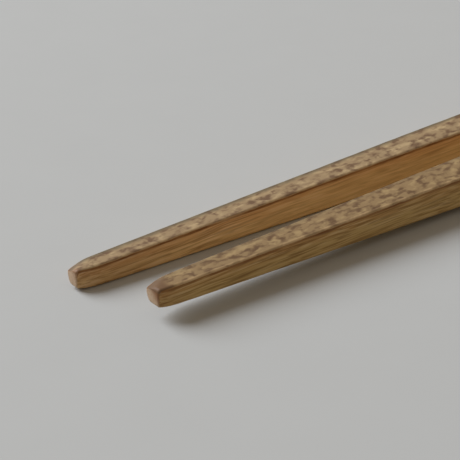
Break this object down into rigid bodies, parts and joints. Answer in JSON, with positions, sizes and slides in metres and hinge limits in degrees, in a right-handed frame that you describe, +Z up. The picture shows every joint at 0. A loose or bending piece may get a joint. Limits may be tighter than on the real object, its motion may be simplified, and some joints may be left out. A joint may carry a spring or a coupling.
{
  "type": "pair of chopsticks",
  "caption": "Square bamboo chopsticks that taper to whittled tips, with the speckled skin left on the top face, lying side by side.",
  "frame": {"origin": "on the surface that the sticks lie on, at the middle of the space that the pair takes up", "axes": "+X along the sticks from the tips towards the handle ends, +Y across them from the near stick to the far one, +Z up, out of the skin faces"},
  "size_m": [0.2396, 0.019, 0.0075],
  "materials": {
    "bamboo": "bare planed bamboo, satin on the planed faces, with the speckled skin left on the top face"
  },
  "bodies": {
    "root": {"far_chopstick": "bamboo", "near_chopstick": "bamboo"}
  },
  "joints": []
}
